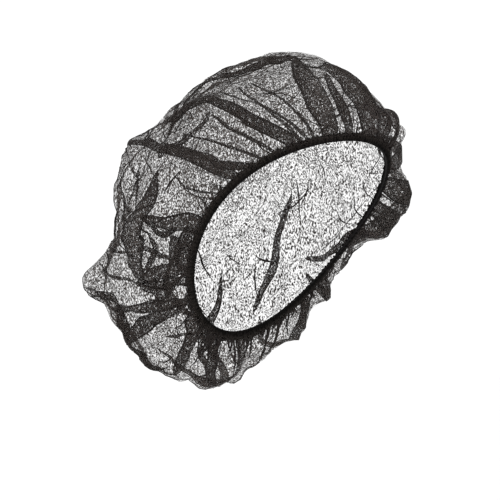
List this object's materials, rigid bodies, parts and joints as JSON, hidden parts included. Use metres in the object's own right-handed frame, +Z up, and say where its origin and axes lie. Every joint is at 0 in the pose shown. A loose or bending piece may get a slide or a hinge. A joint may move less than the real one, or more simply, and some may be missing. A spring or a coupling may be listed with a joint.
{
  "type": "disposable hairnet",
  "caption": "Gathered cap of thin non-woven net with an elastic in a ruffled hem, as it sits on a head.",
  "frame": {"origin": "the point where the inside of the crown bears on the top of the head", "axes": "+Z up, the forehead side of the mouth towards -Y, the wearer's left towards +X, millimetres in the source and metres here"},
  "size_m": [0.2395, 0.2495, 0.257],
  "materials": {
    "net": "thin see-through black non-woven net with visible random fibres, matt",
    "hem": "the same net gathered many layers thick, fuzzy and nearly opaque",
    "elastic": "black covered elastic thread, matt"
  },
  "bodies": {
    "root": {"crown_net": "net", "gathered_hem": "hem", "elastic_band": "elastic"}
  },
  "joints": []
}
